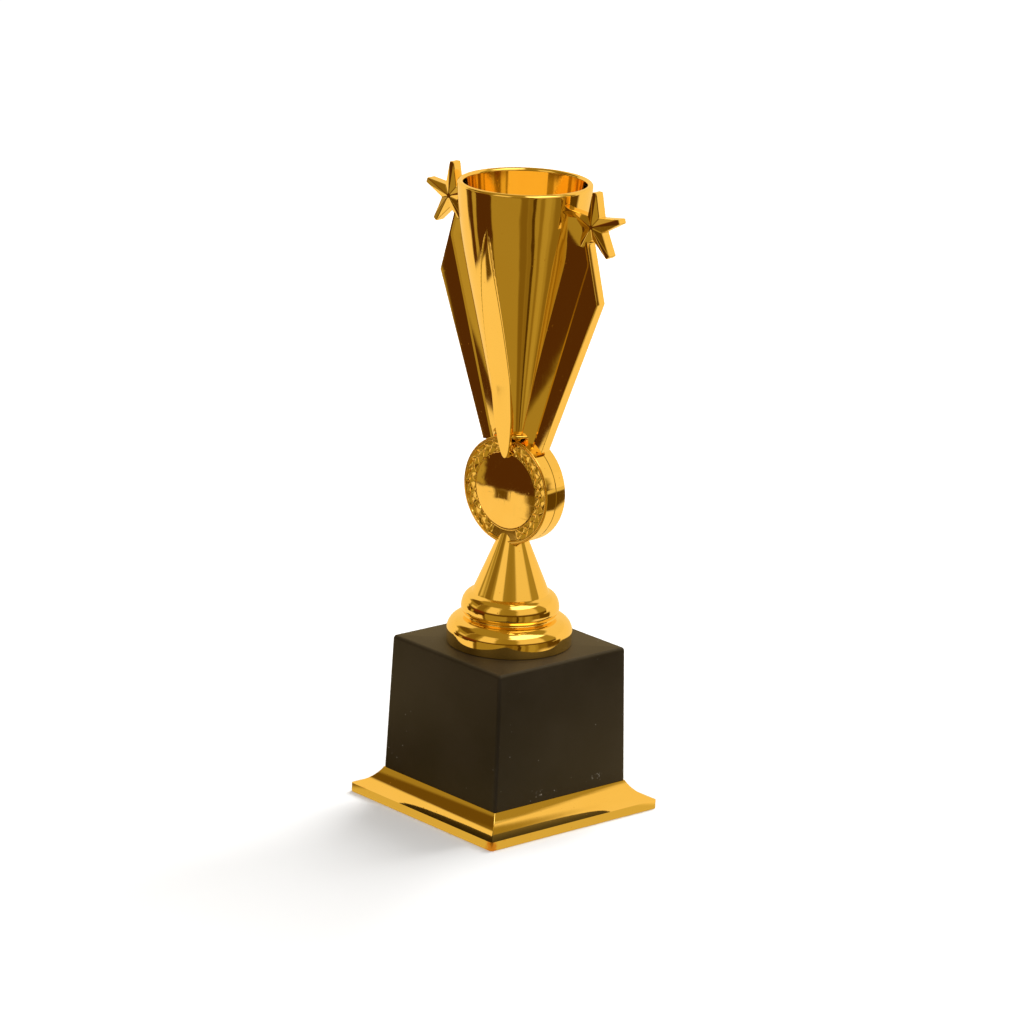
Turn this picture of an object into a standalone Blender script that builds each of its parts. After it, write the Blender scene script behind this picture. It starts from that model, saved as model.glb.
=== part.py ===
"""Star trophy: a gold cup with two side fins and stars, on a medal holder, a turned riser and a black plinth.

Everything above the plinth is one column, clamped by a threaded rod that runs from under the base to the cup.
The column stands a few degrees out of square on the plinth, and turns about the rod.
"""

import math

import bmesh
import bpy

MM = 0.001
GAP = 0.3 * MM  # clearance kept between pieces that touch
COLUMN_TURN = math.radians(8.4)  # how far the column stands turned on its plinth

# Base: square pieces, given by half their width
SKIRT_HALF = 39.5 * MM
LIP_HEIGHT = 3.4 * MM
SKIRT_TOP = 10.2 * MM
SKIRT_WALL = 2.0 * MM
COVE_TURN = 48.0  # degrees of arc in the cove
FLANGE_HALF = 26.0 * MM
FLANGE_THICK = 2.0 * MM
PLINTH_FOOT_HALF = 31.07 * MM
PLINTH_TOP_HALF = 29.81 * MM
PLINTH_TOP = 60.56 * MM
PLINTH_WALL = 2.2 * MM
PLINTH_ROUND = 1.0 * MM
BALLAST_HALF = 25.4 * MM
PLATE_HALF = 29.0 * MM
PLATE_THICK = 2.0 * MM

# Threaded rod with its nuts and washers
ROD_RADIUS = 2.4 * MM
BORE_RADIUS = ROD_RADIUS + GAP
ROD_FOOT = 1.0 * MM
ROD_TOP = 101.0 * MM  # above the plinth
WASHER_THICK = 1.0 * MM
BASE_WASHER_RADIUS = 7.0 * MM
CUP_WASHER_RADIUS = 6.0 * MM
NUT_CORNER_RADIUS = 4.62 * MM
NUT_THICK = 2.7 * MM

# From here on, heights are above the plinth's top
RISER_WALL = 2.0 * MM
FOOT_RADIUS = 22.65 * MM
FOOT_BAND = 4.6 * MM
GROOVE_RADIUS = 17.0 * MM
GROOVE_HEIGHT = 10.0 * MM
BEAD_RADIUS = 17.7 * MM
BEAD_CENTRE = 13.2 * MM
CONE_FOOT_RADIUS = 14.0 * MM
CONE_FOOT = 18.7 * MM
CONE_SLOPE = 0.418
RISER_TOP = 39.2 * MM

MEDAL_CENTRE = 57.25 * MM
MEDAL_RADIUS = 19.7 * MM
MEDAL_HALF = 5.2 * MM
MEDAL_RIM_INNER = 18.6 * MM
WREATH_FLOOR = 4.5 * MM
BORDER_RADIUS = 14.6 * MM
BORDER_HEIGHT = 4.8 * MM
RECESS_RADIUS = 14.2 * MM
RECESS_FLOOR = 3.9 * MM
CENTRE_DISC_RADIUS = 13.9 * MM
CENTRE_DISC_EDGE = 0.7 * MM
CENTRE_DISC_DOME = 1.1 * MM

SEAT_RADIUS = 8.2 * MM
SEAT_NECK_RADIUS = 4.9 * MM
SEAT_FOOT = 74.0 * MM
SEAT_TOP = 78.6 * MM
SEAT_PLATE = 1.0 * MM

CUP_FOOT = SEAT_TOP + GAP
CUP_CONE_START = 78.0 * MM
CUP_CONE_RADIUS = 6.1 * MM
CUP_CONE_SLOPE = 0.228
CUP_FLARE_START = 133.0 * MM
CUP_FLARE_EASE = 2.19  # per metre: how fast the cone's slope eases towards the lip
CUP_SHOULDER = 168.0 * MM
CUP_FLOOR = 95.0 * MM
CUP_LIP_WALL = 2.2 * MM
CUP_FOOT_WALL = 3.4 * MM

STRAP_TIP = 69.5 * MM
STRAP_BEND = 84.5 * MM
STRAP_END = 156.0 * MM
STRAP_TIP_FACE = 6.1 * MM  # distance of its tip's face from the cup's axis
STRAP_LEAN = 0.125  # how far its lower face leans out with height, until it is flush with the cup
STRAP_DRIFT = 2.4 * MM  # how far its top has strayed to its right
STRAP_BACK = MEDAL_HALF + GAP
STRAP_THICK = 0.9 * MM

FIN_HALF = 2.2 * MM
FIN_ROOT_HALF = 3.4 * MM
FIN_TOE = (13.75 * MM, 73.4 * MM)
FIN_KINK = (36.55 * MM, 131.25 * MM)
FIN_UPPER_SLOPE = -0.26
FIN_CREASE_FOOT = (10.2 * MM, 76.2 * MM)
FIN_CREASE_SLOPE = 0.315
FIN_UPPER_FOOT = 138.0 * MM
FIN_TOP = 160.8 * MM
FIN_ROOT_DEPTH = 1.5 * MM

STAR_X = 33.05 * MM
STAR_HEIGHT = 158.6 * MM
STAR_RADIUS = 12.2 * MM
STAR_NOTCH_RADIUS = 4.4 * MM
STAR_TIP_HALF = 0.9 * MM
STAR_WALL_HALF = 1.9 * MM
STAR_APEX = 3.1 * MM
STAR_POINTS = 5

ROUND_STEPS = 64
SMALL_STEPS = 32

# Finishes: base colour, roughness, metallic
GOLD = ((1.0, 0.62, 0.17), 0.08, 1.0)
MIRROR_GOLD = ((1.0, 0.60, 0.20), 0.04, 1.0)
BLACK_PLASTIC = ((0.025, 0.021, 0.017), 0.45, 0.0)
CEMENT = ((0.45, 0.43, 0.40), 0.95, 0.0)
BOARD = ((0.20, 0.13, 0.08), 0.85, 0.0)
STEEL = ((0.62, 0.62, 0.64), 0.30, 1.0)


def clear_scene():
    for obj in list(bpy.data.objects):
        bpy.data.objects.remove(obj, do_unlink=True)


def new_collection(name):
    collection = bpy.data.collections.new(name)
    bpy.context.scene.collection.children.link(collection)
    return collection


def new_empty(name, height, turn):
    """An empty that carries pieces: it stands at a height on the axis, turned about it."""
    empty = bpy.data.objects.new(name, None)
    empty.location = (0.0, 0.0, height)
    empty.rotation_euler = (0.0, 0.0, turn)
    parts.objects.link(empty)
    return empty


def give_finish(obj, finish):
    colour, roughness, metallic = finish
    material = bpy.data.materials.new(obj.name)
    material.use_nodes = True
    shader = material.node_tree.nodes["Principled BSDF"]
    shader.inputs["Base Color"].default_value = (*colour, 1.0)
    shader.inputs["Roughness"].default_value = roughness
    shader.inputs["Metallic"].default_value = metallic
    obj.data.materials.append(material)


def place(name, mesh, parent, finish):
    """Makes the mesh a piece of the trophy or, with no finish, a cutter."""
    obj = bpy.data.objects.new(name, mesh)
    obj.parent = parent
    if finish is None:
        cutters.objects.link(obj)
        obj.hide_render = True
        obj.display_type = "WIRE"
    else:
        parts.objects.link(obj)
        give_finish(obj, finish)
    return obj


def turned(name, profile, parent, finish, steps=ROUND_STEPS):
    """A profile of (radius, height) points, turned about Z; its outer side runs from top to bottom.

    A profile that starts on the axis also ends there, and any other closes on itself.
    """
    count = len(profile)
    edges = [(i, i + 1) for i in range(count - 1)]
    if profile[0][0] > 0.0:
        edges.append((count - 1, 0))
    mesh = bpy.data.meshes.new(name)
    mesh.from_pydata([(radius, 0.0, height) for radius, height in profile], edges, [])
    obj = place(name, mesh, parent, finish)
    screw = obj.modifiers.new("turn", "SCREW")
    screw.steps = screw.render_steps = steps
    screw.use_merge_vertices = True
    screw.merge_threshold = 0.01 * MM
    screw.use_smooth_shade = steps > 6
    return obj


def squared(name, profile, finish):
    """A profile of (half width, height) points carried round a square, with mitred corners."""
    corners = [(half * math.sqrt(2.0), height) for half, height in profile]
    obj = turned(name, corners, base, finish, steps=4)
    obj.rotation_euler = (0.0, 0.0, math.radians(45.0))
    return obj


def lofted(name, rings, parent, finish):
    """Skins a run of rings that have the same number of points; a ring of one point closes to an apex."""
    mesh = bpy.data.meshes.new(name)
    shape = bmesh.new()
    rows = [[shape.verts.new(point) for point in ring] for ring in rings]
    for low, high in zip(rows, rows[1:]):
        count = max(len(low), len(high))
        for i in range(count):
            j = (i + 1) % count
            corners = [low[i % len(low)], low[j % len(low)], high[j % len(high)], high[i % len(high)]]
            shape.faces.new(list(dict.fromkeys(corners)))
    for row in (rows[0], rows[-1]):
        if len(row) > 1:
            shape.faces.new(row)
    bmesh.ops.recalc_face_normals(shape, faces=shape.faces)
    shape.to_mesh(mesh)
    shape.free()
    return place(name, mesh, parent, finish)


def cut(obj, *tools):
    for tool in tools:
        boolean = obj.modifiers.new(tool.name, "BOOLEAN")
        boolean.operation = "DIFFERENCE"
        boolean.solver = "EXACT"
        boolean.object = tool


def disc_profile(radius, foot, top):
    return [(0.0, top), (radius, top), (radius, foot), (0.0, foot)]


def arc(centre, radii, start, end, steps):
    """Points of an elliptic arc, angles in degrees from the outward direction."""
    points = []
    for i in range(steps + 1):
        angle = math.radians(start + (end - start) * i / steps)
        points.append((centre[0] + radii[0] * math.cos(angle), centre[1] + radii[1] * math.sin(angle)))
    return points


def between(start, end, count):
    return [start + (end - start) * i / (count - 1) for i in range(count)]


# --- Base ---------------------------------------------------------------------------------------


def make_skirt_frame():
    """Square foot: an upright lip, a hollow cove up to the plinth, and a flange that carries the plinth."""
    across = SKIRT_HALF - PLINTH_FOOT_HALF
    fall = SKIRT_TOP - LIP_HEIGHT
    cove = 0.5 * math.hypot(across, fall) / math.sin(0.5 * math.radians(COVE_TURN))
    middle = 180.0 + math.degrees(math.atan2(across, fall))
    start = middle - 0.5 * COVE_TURN
    centre_half = PLINTH_FOOT_HALF - cove * math.cos(math.radians(start))
    centre_height = SKIRT_TOP - cove * math.sin(math.radians(start))
    centre = (centre_half, centre_height)
    back = cove + SKIRT_WALL
    flange_foot = SKIRT_TOP - FLANGE_THICK
    flange_angle = 180.0 + math.degrees(math.asin((centre_height - flange_foot) / back))
    lip_angle = 180.0 + math.degrees(math.acos((centre_half - SKIRT_HALF + SKIRT_WALL) / back))
    profile = [(FLANGE_HALF, SKIRT_TOP)]
    profile += arc(centre, (cove, cove), start, start + COVE_TURN, 8)
    profile += [(SKIRT_HALF, 0.0), (SKIRT_HALF - SKIRT_WALL, 0.0)]
    profile += arc(centre, (back, back), lip_angle, flange_angle, 6)
    profile += [(FLANGE_HALF, flange_foot)]
    squared("skirt_frame", profile, GOLD)


def make_plinth_shell():
    """Black block, moulded as a shell that is open below, slightly narrower at its top."""
    foot = SKIRT_TOP + GAP
    profile = [
        (0.0, PLINTH_TOP),
        (PLINTH_TOP_HALF, PLINTH_TOP),
        (PLINTH_FOOT_HALF, foot),
        (PLINTH_FOOT_HALF - PLINTH_WALL, foot),
        (PLINTH_TOP_HALF - PLINTH_WALL, PLINTH_TOP - PLINTH_WALL),
        (0.0, PLINTH_TOP - PLINTH_WALL),
    ]
    shell = squared("plinth_shell", profile, BLACK_PLASTIC)
    bevel = shell.modifiers.new("rounded_edges", "BEVEL")
    bevel.width = PLINTH_ROUND
    bevel.segments = 3
    bevel.limit_method = "ANGLE"
    bevel.angle_limit = math.radians(40.0)
    cut(shell, rod_bore)


def make_ballast_block():
    """Cement weight that fills the plinth."""
    profile = disc_profile(BALLAST_HALF, SKIRT_TOP - FLANGE_THICK, PLINTH_TOP - PLINTH_WALL - GAP)
    cut(squared("ballast_block", profile, CEMENT), rod_bore)


def make_base_plate():
    """Closing board under the ballast: the nut pulls it up against the skirt's flange."""
    top = SKIRT_TOP - FLANGE_THICK - GAP
    cut(squared("base_plate", disc_profile(PLATE_HALF, top - PLATE_THICK, top), BOARD), rod_bore)
    return top - PLATE_THICK


def make_washer(name, radius, top, parent):
    foot = top - WASHER_THICK
    profile = [(BORE_RADIUS, top), (radius, top), (radius, foot), (BORE_RADIUS, foot)]
    turned(name, profile, parent, STEEL, steps=SMALL_STEPS)


def make_nut(name, foot, bore):
    mesh = bpy.data.meshes.new(name)
    shape = bmesh.new()
    bmesh.ops.create_cone(
        shape,
        cap_ends=True,
        segments=6,
        radius1=NUT_CORNER_RADIUS,
        radius2=NUT_CORNER_RADIUS,
        depth=NUT_THICK,
    )
    shape.to_mesh(mesh)
    shape.free()
    nut = place(name, mesh, column, STEEL)
    nut.location.z = foot + NUT_THICK / 2.0
    cut(nut, bore)


def make_tie_rod():
    profile = disc_profile(ROD_RADIUS, ROD_FOOT - PLINTH_TOP, ROD_TOP)
    turned("tie_rod", profile, column, STEEL, steps=SMALL_STEPS)


# --- Riser and medal holder ---------------------------------------------------------------------


def make_riser():
    """Turned foot: a band that rounds over into a bead, a smaller bead, then a cone slotted for the medal."""
    cone_top_radius = CONE_FOOT_RADIUS - CONE_SLOPE * (RISER_TOP - CONE_FOOT)
    foot_round = (FOOT_RADIUS - GROOVE_RADIUS, GROOVE_HEIGHT - FOOT_BAND)
    bead = (BEAD_RADIUS - GROOVE_RADIUS + 2.6 * MM, BEAD_CENTRE - GROOVE_HEIGHT)
    bead_centre = (BEAD_RADIUS - bead[0], BEAD_CENTRE)
    shoulder = (BEAD_RADIUS - CONE_FOOT_RADIUS, CONE_FOOT - BEAD_CENTRE)
    profile = [(BORE_RADIUS, RISER_TOP), (cone_top_radius, RISER_TOP)]
    profile += arc((CONE_FOOT_RADIUS, BEAD_CENTRE), shoulder, 90.0, 0.0, 7)
    profile += arc(bead_centre, bead, -25.0, -75.0, 3)
    profile += arc((GROOVE_RADIUS, FOOT_BAND), foot_round, 90.0, 0.0, 7)
    profile += [(FOOT_RADIUS, GAP), (FOOT_RADIUS - RISER_WALL, GAP), (FOOT_RADIUS - RISER_WALL, FOOT_BAND)]
    profile += [(GROOVE_RADIUS - RISER_WALL, GROOVE_HEIGHT - RISER_WALL)]
    profile += [(CONE_FOOT_RADIUS - RISER_WALL, CONE_FOOT - RISER_WALL)]
    bore_foot = CONE_FOOT + (CONE_FOOT_RADIUS - RISER_WALL - BORE_RADIUS) / CONE_SLOPE - RISER_WALL
    profile += [(BORE_RADIUS, min(bore_foot, RISER_TOP - 6.0 * MM))]
    cut(turned("riser", profile, column, GOLD), medal_space)


def make_medal_half(name, facing):
    """One half of the round holder: raised rim, sunk wreath ring, border and a recess for the centre disc."""
    rim_round = 0.4 * MM
    profile = [
        (0.0, RECESS_FLOOR),
        (RECESS_RADIUS, RECESS_FLOOR),
        (RECESS_RADIUS, BORDER_HEIGHT),
        (BORDER_RADIUS, BORDER_HEIGHT),
        (BORDER_RADIUS + rim_round, WREATH_FLOOR),
        (MEDAL_RIM_INNER - rim_round, WREATH_FLOOR),
        (MEDAL_RIM_INNER, MEDAL_HALF),
        (MEDAL_RADIUS - rim_round, MEDAL_HALF),
        (MEDAL_RADIUS, MEDAL_HALF - rim_round),
        (MEDAL_RADIUS, GAP / 2.0),
        (0.0, GAP / 2.0),
    ]
    half = turned(name, profile, column, GOLD)
    half.location.z = MEDAL_CENTRE
    half.rotation_euler.x = facing
    cut(half, column_bore)


def make_centre_disc(name, facing):
    """Domed mirror disc, pressed into the holder's recess."""
    back = RECESS_FLOOR + GAP
    edge = back + CENTRE_DISC_EDGE
    sphere = (CENTRE_DISC_RADIUS**2 + CENTRE_DISC_DOME**2) / (2.0 * CENTRE_DISC_DOME)
    profile = []
    for radius in between(0.0, CENTRE_DISC_RADIUS, 7):
        profile.append((radius, edge + CENTRE_DISC_DOME - sphere + math.sqrt(sphere**2 - radius**2)))
    profile += [(CENTRE_DISC_RADIUS, back), (0.0, back)]
    disc = turned(name, profile, column, MIRROR_GOLD)
    disc.location.z = MEDAL_CENTRE
    disc.rotation_euler.x = facing


def make_cup_seat():
    """Round plate on a short neck that saddles the medal holder's rim; the straps pass its two flats."""
    plate_foot = SEAT_TOP - SEAT_PLATE
    profile = [(0.0, SEAT_TOP), (SEAT_RADIUS, SEAT_TOP), (SEAT_RADIUS, plate_foot)]
    profile += [(SEAT_NECK_RADIUS, plate_foot), (SEAT_NECK_RADIUS, SEAT_FOOT), (0.0, SEAT_FOOT)]
    seat = turned("cup_seat", profile, column, GOLD, steps=SMALL_STEPS)
    cut(seat, medal_space, column_bore, strap_space_front, strap_space_rear)


# --- Cup, straps, fins and stars ----------------------------------------------------------------


def cup_radius(height):
    """Outer radius of the cup: a straight cone, whose slope eases towards the lip."""
    rise = max(0.0, height - CUP_FLARE_START)
    return CUP_CONE_RADIUS + CUP_CONE_SLOPE * (height - CUP_CONE_START) - CUP_FLARE_EASE * rise**2


def make_cup():
    lip_radius = CUP_LIP_WALL / 2.0
    lip_centre = (cup_radius(CUP_SHOULDER) - lip_radius, CUP_SHOULDER)
    profile = [(0.0, CUP_FLOOR)]
    for share in between(0.0, 1.0, 7)[:-1]:
        height = CUP_FLOOR + share * (CUP_SHOULDER - CUP_FLOOR)
        wall = CUP_FOOT_WALL + share * (CUP_LIP_WALL - CUP_FOOT_WALL)
        profile.append((cup_radius(height) - wall, height))
    profile += arc(lip_centre, (lip_radius, lip_radius), 180.0, 0.0, 6)
    profile += [(cup_radius(height), height) for height in between(CUP_SHOULDER, CUP_FLARE_START, 9)[1:]]
    profile += [(cup_radius(CUP_FOOT), CUP_FOOT), (0.0, CUP_FOOT)]
    cup = turned("cup", profile, column, GOLD)
    cut(cup, column_bore, strap_space_front, strap_space_rear)


def strap_half_width(height):
    """Pointed at both ends: a rounded tip over the medal, widest above it, and a long taper up the cup."""
    if height < STRAP_BEND:
        share = (height - STRAP_TIP) / (STRAP_BEND - STRAP_TIP)
        return 4.1 * MM * share**0.42
    share = (height - STRAP_BEND) / (STRAP_END - STRAP_BEND)
    return 4.1 * MM * (1.0 - share**3) + 3.0 * MM * share * (1.0 - share)


def strap_rings(grow, side):
    """Sections of a strap, grown by a clearance; side is -1 for the front one and 1 for the rear one."""
    rings = []
    heights = [STRAP_TIP + offset * MM for offset in (0.02, 0.4, 1.2, 3.0, 6.0, 10.0)]
    heights += between(STRAP_BEND, STRAP_END - 0.4 * MM, 12)
    if grow:
        heights[0] -= grow
        heights[-1] += grow
    for height in heights:
        inside = min(max(height, STRAP_TIP + 0.02 * MM), STRAP_END - 0.4 * MM)
        half = strap_half_width(inside)
        drift = STRAP_DRIFT * max((inside - STRAP_BEND) / (STRAP_END - STRAP_BEND), 0.0) ** 4
        flush = math.sqrt(cup_radius(inside) ** 2 - (half + drift) ** 2)
        face = max(STRAP_TIP_FACE + STRAP_LEAN * (inside - STRAP_TIP), flush)
        back = max(STRAP_BACK, face - STRAP_THICK) - grow
        half += grow
        face += 10.0 * grow  # a grown strap also reaches out past the cup's round face
        section = ((half, back), (half, face), (-half, face), (-half, back))
        rings.append([(-side * (x + drift), side * y, height) for x, y in section])
    return rings


def fin_outer(height):
    """Outer edge of a fin: it leans out from the toe to the kink, then back in."""
    if height < FIN_KINK[1]:
        slope = (FIN_KINK[0] - FIN_TOE[0]) / (FIN_KINK[1] - FIN_TOE[1])
        return FIN_TOE[0] + slope * (height - FIN_TOE[1])
    return FIN_KINK[0] + FIN_UPPER_SLOPE * (height - FIN_KINK[1])


def make_fin(name, side):
    """Flat fin, thicker towards the cup from a crease inwards, with its top let into the star."""
    rings = []
    heights = [FIN_TOE[1]] + between(FIN_CREASE_FOOT[1], FIN_KINK[1], 6)
    heights += between(FIN_UPPER_FOOT, FIN_TOP, 4)
    for height in heights:
        outer = fin_outer(height)
        crease = FIN_CREASE_FOOT[0] + FIN_CREASE_SLOPE * (height - FIN_CREASE_FOOT[1])
        crease = min(crease, outer - GAP)
        cup_side = cup_radius(height)
        root = cup_side - FIN_ROOT_DEPTH
        root_half = FIN_HALF + (FIN_ROOT_HALF - FIN_HALF) * (crease - root) / (crease - cup_side)
        section = [(root, root_half), (crease, FIN_HALF), (outer, FIN_HALF)]
        section += [(x, -y) for x, y in reversed(section)]
        rings.append([(side * x, y, height) for x, y in section])
    return lofted(name, rings, column, GOLD)


def star_rings(side, grow):
    """Apex, front outline, rear outline and apex of a star whose arms taper to blunt tips."""
    half_step = math.pi / STAR_POINTS
    notch = (STAR_NOTCH_RADIUS * math.cos(half_step), STAR_NOTCH_RADIUS * math.sin(half_step))
    taper = (notch[1] - STAR_TIP_HALF) / (STAR_RADIUS - notch[0])
    grown_edge = notch[1] + taper * notch[0] + grow * math.hypot(1.0, taper)
    tip_radius = STAR_RADIUS + grow
    tip_half = grown_edge - taper * tip_radius
    notch_radius = grown_edge / (math.sin(half_step) + taper * math.cos(half_step))
    outline = []
    for point in range(STAR_POINTS):
        angle = math.pi / 2.0 + 2.0 * math.pi * point / STAR_POINTS
        for radial, across in ((tip_radius, -tip_half), (tip_radius, tip_half)):
            x = radial * math.cos(angle) - across * math.sin(angle)
            z = radial * math.sin(angle) + across * math.cos(angle)
            outline.append((x, z))
        between_arms = angle + half_step
        outline.append((notch_radius * math.cos(between_arms), notch_radius * math.sin(between_arms)))
    wall = STAR_WALL_HALF + grow
    apex = STAR_APEX + grow
    centre = side * STAR_X
    rings = [[(centre, -apex, STAR_HEIGHT)]]
    rings += [[(centre + x, y, STAR_HEIGHT + z) for x, z in outline] for y in (-wall, wall)]
    rings += [[(centre, apex, STAR_HEIGHT)]]
    return rings


def make_fin_and_star(label, side):
    star = lofted(label + "_star", star_rings(side, 0.0), column, GOLD)
    cut(star, cup_space)
    star_space = lofted(label + "_star_space", star_rings(side, GAP), column, None)
    fin = make_fin(label + "_fin", side)
    cut(fin, cup_space, medal_space, seat_space, star_space)


clear_scene()
parts = new_collection("star_trophy")
cutters = new_collection("cutters")
cutters.hide_render = True
base = new_empty("base_axis", 0.0, 0.0)
column = new_empty("column_axis", PLINTH_TOP, COLUMN_TURN)


def round_space(name, radius, foot, top, parent, steps=SMALL_STEPS):
    return turned(name, disc_profile(radius, foot, top), parent, None, steps)


OVERRUN = 5.0 * MM  # how far a cutter runs past what it cuts
rod_bore = round_space("rod_bore", BORE_RADIUS, -OVERRUN, PLINTH_TOP + OVERRUN, base)
column_bore = round_space("column_bore", BORE_RADIUS, -PLINTH_TOP, ROD_TOP + GAP, column)
medal_reach = MEDAL_HALF + 0.6 * GAP
medal_space = round_space("medal_space", MEDAL_RADIUS + GAP, -medal_reach, medal_reach, column, ROUND_STEPS)
medal_space.location.z = MEDAL_CENTRE
medal_space.rotation_euler.x = math.radians(90.0)
seat_top_space = SEAT_TOP + GAP / 2.0
seat_space = round_space("seat_space", SEAT_RADIUS + GAP, SEAT_FOOT - OVERRUN, seat_top_space, column)
cup_outside = between(CUP_SHOULDER + 2.0 * MM, CUP_FLARE_START, 9) + [SEAT_TOP]
cup_space_profile = [(0.0, cup_outside[0])]
cup_space_profile += [(cup_radius(height) + GAP, height) for height in cup_outside]
cup_space_profile += [(0.0, SEAT_TOP)]
cup_space = turned("cup_space", cup_space_profile, column, None)
strap_space_front = lofted("strap_space_front", strap_rings(GAP, -1.0), column, None)
strap_space_rear = lofted("strap_space_rear", strap_rings(GAP, 1.0), column, None)

make_skirt_frame()
make_plinth_shell()
make_ballast_block()
plate_foot = make_base_plate()
make_washer("base_washer", BASE_WASHER_RADIUS, plate_foot - GAP, base)
make_nut("base_nut", plate_foot - 2.0 * GAP - WASHER_THICK - NUT_THICK - PLINTH_TOP, column_bore)
make_tie_rod()

FRONT = math.radians(90.0)
REAR = math.radians(-90.0)
make_riser()
make_medal_half("medal_front", FRONT)
make_medal_half("medal_rear", REAR)
make_centre_disc("centre_disc_front", FRONT)
make_centre_disc("centre_disc_rear", REAR)
make_cup_seat()
make_cup()
make_washer("cup_washer", CUP_WASHER_RADIUS, CUP_FLOOR + GAP + WASHER_THICK, column)
make_nut("cup_nut", CUP_FLOOR + 2.0 * GAP + WASHER_THICK, column_bore)
lofted("front_rib", strap_rings(0.0, -1.0), column, GOLD)
lofted("rear_rib", strap_rings(0.0, 1.0), column, GOLD)
make_fin_and_star("right", 1.0)
make_fin_and_star("left", -1.0)
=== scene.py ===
"""Star trophy with its finishes: gilt column and skirt, black plinth, and the clamped works inside.

Sizes are in millimetres until a mesh is made. Everything above the plinth is drawn in the column's own frame:
x runs from fin to fin, y from front to rear and z up from the plinth's top.
"""

import math

import bmesh
import bpy
import numpy as np
from mathutils import Matrix, Vector


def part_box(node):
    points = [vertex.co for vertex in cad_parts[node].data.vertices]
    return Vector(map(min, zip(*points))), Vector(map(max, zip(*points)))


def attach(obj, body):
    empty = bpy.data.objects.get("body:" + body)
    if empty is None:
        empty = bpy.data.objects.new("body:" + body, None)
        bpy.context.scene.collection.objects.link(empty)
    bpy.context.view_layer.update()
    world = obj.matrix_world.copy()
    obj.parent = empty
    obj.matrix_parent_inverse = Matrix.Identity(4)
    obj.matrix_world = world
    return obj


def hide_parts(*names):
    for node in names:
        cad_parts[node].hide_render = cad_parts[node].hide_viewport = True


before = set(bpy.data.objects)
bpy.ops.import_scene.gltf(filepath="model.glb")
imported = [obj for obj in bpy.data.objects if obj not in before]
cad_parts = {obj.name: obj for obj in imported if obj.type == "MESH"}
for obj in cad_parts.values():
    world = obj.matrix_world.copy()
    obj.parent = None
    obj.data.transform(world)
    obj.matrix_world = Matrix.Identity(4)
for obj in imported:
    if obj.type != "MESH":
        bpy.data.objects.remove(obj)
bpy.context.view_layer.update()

# ---------------------------------------------------------------------------------------------------
# Skirt frame: the gilt square foot. One injection moulding, plated under vacuum: an upright lip, a
# hollow cove that rises to the plinth, and a flange inside that carries the plinth and its ballast.

MM = 0.001


def box_of(node):
    """Lowest and highest corner of a solid of the frame, in millimetres."""
    low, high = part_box(node)
    return np.array(low) / MM, np.array(high) / MM


def filleted(corners, radii, steps=5):
    """Closed outline through corners [..., corner, 2], each replaced by an arc that touches both its sides.

    The arc's centre is on the corner's bisector, radius / sine of half the corner's angle away from it.
    """
    back = np.roll(corners, 1, axis=-2) - corners
    ahead = np.roll(corners, -1, axis=-2) - corners
    back = back / np.linalg.norm(back, axis=-1, keepdims=True)
    ahead = ahead / np.linalg.norm(ahead, axis=-1, keepdims=True)
    bisector = back + ahead
    bisector = bisector / np.maximum(np.linalg.norm(bisector, axis=-1, keepdims=True), 1e-9)
    half_angle = np.arccos(np.clip((back * bisector).sum(-1), -1.0, 1.0))
    radii = np.broadcast_to(radii, half_angle.shape)
    centre = corners + bisector * (radii / np.sin(half_angle))[..., None]
    reach = (radii / np.tan(half_angle))[..., None]
    share = np.linspace(0.0, 1.0, steps)[:, None]
    first = (corners + back * reach - centre)[..., None, :]
    last = (corners + ahead * reach - centre)[..., None, :]
    spoke = first * (1.0 - share) + last * share
    spoke = spoke / np.maximum(np.linalg.norm(spoke, axis=-1, keepdims=True), 1e-9)
    points = centre[..., None, :] + spoke * radii[..., None, None]
    return points.reshape(*corners.shape[:-2], -1, 2)


def outline(*runs):
    """Closed profile made of runs of (across, height, corner radius) rows, without repeated points."""
    corners = np.concatenate([np.atleast_2d(run) for run in runs]).astype(float)
    points = filleted(corners[:, :2], corners[:, 2])
    moved = np.linalg.norm(points - np.roll(points, 1, axis=0), axis=1)
    return points[moved > 1e-4]


def arc(centre, radii, start, end, count=24):
    """Rows of an elliptic arc: centre + radii * (cosine, sine) of angles from start to end, in degrees."""
    angle = np.radians(np.linspace(start, end, count))
    across = centre[0] + radii[0] * np.cos(angle)
    height = centre[1] + radii[1] * np.sin(angle)
    return np.column_stack([across, height, 0.0 * angle])


def squared(profile, corner, steps=7):
    """Profile of (half width, height) rows carried round a square whose corners have the given plan radius.

    A corner's points are (half - corner) along both sides plus corner * (cosine, sine).
    Where corner = half, the square is a circle.
    """
    half = profile[:, :1]
    corner = np.broadcast_to(corner, len(profile))[:, None]
    quarter = np.repeat(np.arange(4), steps) * 90.0
    turn = np.radians(quarter + np.tile(np.linspace(0.0, 90.0, steps), 4))
    middle = np.radians(quarter + 45.0)
    x = np.sign(np.cos(middle)) * (half - corner) + corner * np.cos(turn)
    y = np.sign(np.sin(middle)) * (half - corner) + corner * np.sin(turn)
    return np.stack([x, y, np.broadcast_to(profile[:, 1:], x.shape)], axis=-1)


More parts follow.
